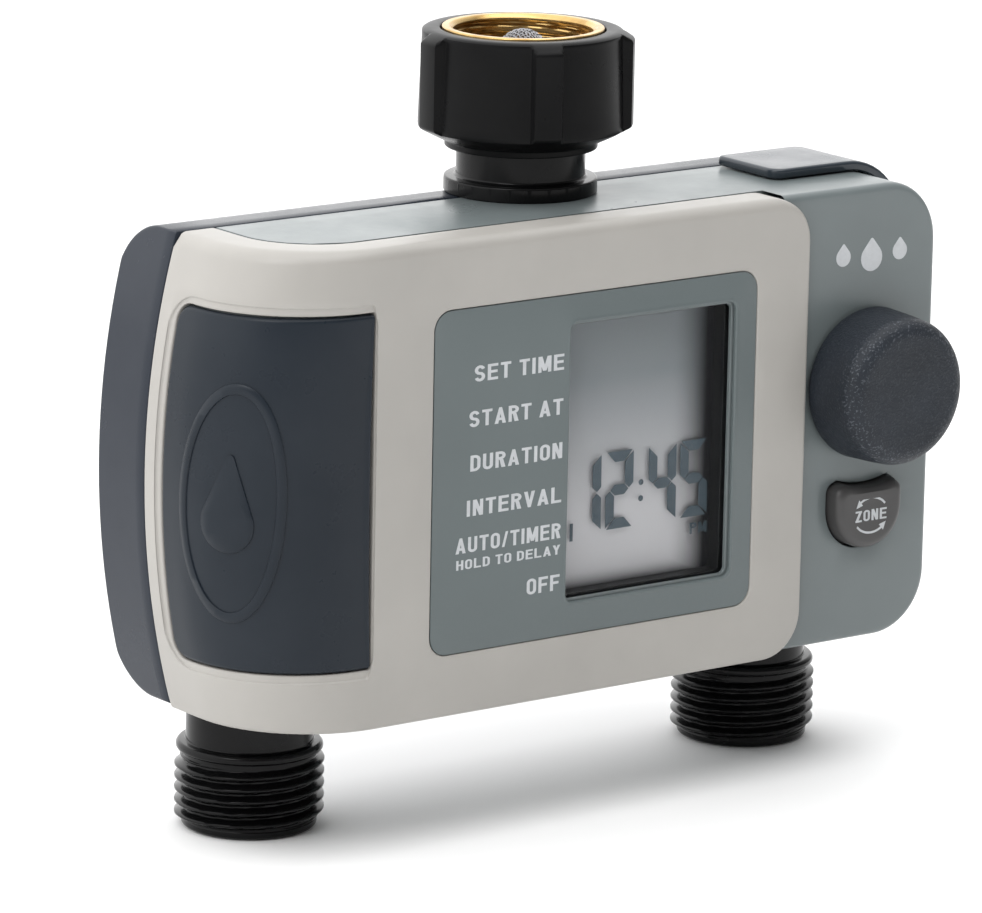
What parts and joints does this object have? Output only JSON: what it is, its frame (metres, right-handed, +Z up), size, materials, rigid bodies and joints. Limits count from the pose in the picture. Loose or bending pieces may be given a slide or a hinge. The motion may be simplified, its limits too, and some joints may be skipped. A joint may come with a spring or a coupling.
{
  "type": "hose tap watering timer",
  "caption": "Battery watering timer that screws to a hose tap, with a display, a dial, a button and two threaded hose outlets below.",
  "frame": {"origin": "centre of the inlet mouth, level with the brass rim", "axes": "+Z up along the inlet axis, out of the mouth; -Y out of the front face; +X to the right seen from the front"},
  "size_m": [0.1576, 0.0631, 0.14],
  "materials": {
    "cream_plastic": "satin moulded",
    "grey_plastic": "satin moulded",
    "slate_plastic": "satin moulded",
    "rear_plastic": "satin moulded",
    "panel_plastic": "fine matt film",
    "knob_plastic": "fine textured",
    "button_plastic": "satin",
    "black_plastic": "satin moulded",
    "black_gloss": "semi-gloss moulded",
    "white_plastic": "natural",
    "clear_window": "clear",
    "display": "polished",
    "board": "solder mask",
    "rubber": "matt",
    "silicone": "matt",
    "coil_dark": "wound and wrapped",
    "brass": "turned",
    "steel": "plain",
    "cell": "wrapped"
  },
  "bodies": {
    "housing": {"rear_housing": "rear_plastic", "front_housing": "grey_plastic", "front_bezel": "cream_plastic", "control_panel": "panel_plastic", "display_lens": "clear_window", "display_glass": "display", "display_frame": "white_plastic", "contact_strip": "rubber", "circuit_board": "board", "controller_chip": "rubber", "clock_crystal": "steel", "drive_capacitor": "coil_dark", "encoder_body": "steel", "button_pad": "silicone", "battery_tray": "black_plastic", "battery_1": "cell", "contact_spring_1": "steel", "contact_plate_1": "steel", "battery_2": "cell", "contact_spring_2": "steel", "contact_plate_2": "steel", "valve_manifold": "black_gloss", "swivel_ring": "white_plastic", "inlet_washer": "rubber", "inlet_filter": "steel", "outlet_left": "black_gloss", "outlet_oring_left": "rubber", "diaphragm_left": "rubber", "valve_bonnet_left": "white_plastic", "plunger_spring_left": "steel", "solenoid_left": "coil_dark", "outlet_right": "black_gloss", "outlet_oring_right": "rubber", "diaphragm_right": "rubber", "valve_bonnet_right": "white_plastic", "plunger_spring_right": "steel", "solenoid_right": "coil_dark", "rear_screw_1": "steel", "rear_screw_2": "steel", "rear_screw_3": "steel", "rear_screw_4": "steel", "rear_screw_5": "steel", "rear_screw_6": "steel", "board_screw_1": "steel", "board_screw_2": "steel", "board_screw_3": "steel", "board_screw_4": "steel"},
    "inlet_coupling": {"inlet_nut": "black_gloss", "inlet_thread_insert": "brass"},
    "dial_shaft": {"encoder_shaft": "steel"},
    "dial": {"selector_knob": "knob_plastic"},
    "button": {"station_button": "button_plastic"},
    "battery_door": {"battery_cover": "slate_plastic"},
    "corner_cover": {"corner_cap": "slate_plastic"},
    "valve_left": {"plunger_left": "steel", "valve_disc_left": "rubber"},
    "valve_right": {"plunger_right": "steel", "valve_disc_right": "rubber"}
  },
  "joints": [
    {"name": "inlet_nut_turn", "type": "hinge", "parent": "housing", "child": "inlet_coupling", "pos_m": [0, 0, -0.01], "axis": [0, 0, 1], "continuous": true},
    {"name": "dial_push", "type": "slide", "parent": "housing", "child": "dial_shaft", "axis": [0, 1, 0], "range_m": [0, 0.0005], "stiffness_N_per_m": 3000},
    {"name": "dial_turn", "type": "hinge", "parent": "dial_shaft", "child": "dial", "pos_m": [0.0577, -0.037, -0.06675], "axis": [0, -1, 0], "continuous": true},
    {"name": "button_press", "type": "slide", "parent": "housing", "child": "button", "axis": [0, 1, 0], "range_m": [0, 0.0008], "stiffness_N_per_m": 1500},
    {"name": "battery_cover_pull", "type": "slide", "parent": "housing", "child": "battery_door", "axis": [-0.7071, -0.7071, 0], "range_m": [0, 0.016]},
    {"name": "corner_cap_lift", "type": "slide", "parent": "housing", "child": "corner_cover", "axis": [0.7071, 0, 0.7071], "range_m": [0, 0.008]},
    {"name": "valve_left_lift", "type": "slide", "parent": "housing", "child": "valve_left", "axis": [0, 0, 1], "range_m": [0, 0.0015], "stiffness_N_per_m": 200, "deforming": ["plunger_spring_left"]},
    {"name": "valve_right_lift", "type": "slide", "parent": "housing", "child": "valve_right", "axis": [0, 0, 1], "range_m": [0, 0.0015], "stiffness_N_per_m": 200, "deforming": ["plunger_spring_right"]}
  ]
}
